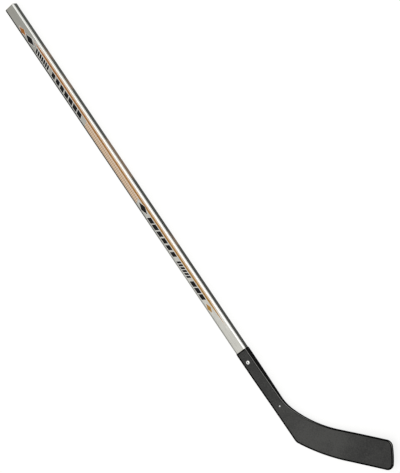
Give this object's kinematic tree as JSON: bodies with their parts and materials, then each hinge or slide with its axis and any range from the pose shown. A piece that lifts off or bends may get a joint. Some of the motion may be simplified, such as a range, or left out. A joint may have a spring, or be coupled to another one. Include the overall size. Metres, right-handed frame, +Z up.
{
  "type": "street hockey stick",
  "caption": "Left-handed street hockey stick: laminated rectangular shaft in silver printed film, riveted into the hosel of a curved black plastic blade.",
  "frame": {"origin": "middle of the bounding box's bottom, with the stick lying on its back", "axes": "+X along the shaft from the butt end to the blade, +Y to the side that the toe points to, +Z up, out of the blade's hollow side"},
  "size_m": [1.446, 0.2102, 0.0268],
  "materials": {
    "silver_film": "metallised printed film",
    "glass_skin": "resin-bonded glass cloth",
    "birch": "sawn veneer",
    "aspen": "sawn end grain",
    "black_abs": "moulded, fine grain",
    "rivet_aluminium": "bright formed",
    "plated_steel": "zinc plated"
  },
  "bodies": {
    "root": {"shaft_film": "silver_film", "fibreglass_front": "glass_skin", "fibreglass_back": "glass_skin", "outer_ply_front": "birch", "outer_ply_back": "birch", "core_ply_1": "aspen", "core_ply_2": "aspen", "core_ply_3": "aspen", "blade": "black_abs", "rivet_body": "rivet_aluminium", "rivet_mandrel": "plated_steel", "blade_pin": "plated_steel"}
  },
  "joints": []
}
